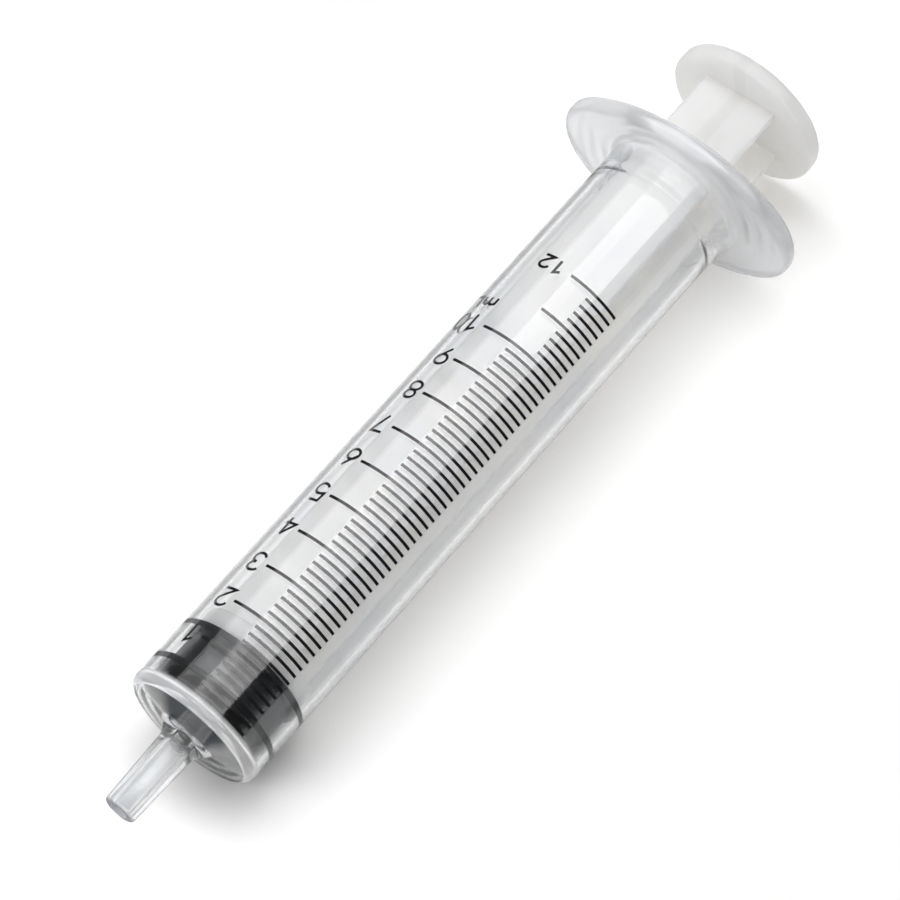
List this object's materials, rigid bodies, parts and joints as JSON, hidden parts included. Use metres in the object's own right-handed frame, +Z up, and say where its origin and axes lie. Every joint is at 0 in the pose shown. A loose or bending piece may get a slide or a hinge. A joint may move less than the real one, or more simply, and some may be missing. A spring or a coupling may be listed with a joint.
{
  "type": "slip-tip syringe",
  "caption": "Clear barrel with a tapered nozzle and an oval finger flange, a black sealing gasket and a sliding milky plunger rod with a round thumb rest.",
  "frame": {"origin": "centre of the opening in the nozzle tip", "axes": "+X along the barrel from the nozzle tip to the thumb rest, +Y along the long axis of the finger flange, +Z up through the printed side as the syringe lies on the flange"},
  "size_m": [0.1137, 0.0326, 0.0228],
  "materials": {
    "clear_polypropylene": "clear, glossy",
    "black_rubber": "smooth, lightly oiled",
    "milky_polypropylene": "translucent satin",
    "scale_ink": "printed, satin"
  },
  "bodies": {
    "barrel": {"barrel": "clear_polypropylene", "millilitre_lines": "scale_ink", "division_lines": "scale_ink", "numerals": "scale_ink", "unit_mark": "scale_ink"},
    "gasket": {"gasket": "black_rubber"},
    "plunger_rod": {"plunger_rod": "milky_polypropylene"}
  },
  "joints": [
    {"name": "plunger_slide", "type": "slide", "parent": "barrel", "child": "gasket", "axis": [1, 0, 0], "range_m": [0, 0.072]},
    {"name": "rod_spin", "type": "hinge", "parent": "gasket", "child": "plunger_rod", "pos_m": [0.0191, 0, 0], "axis": [1, 0, 0], "continuous": true}
  ]
}
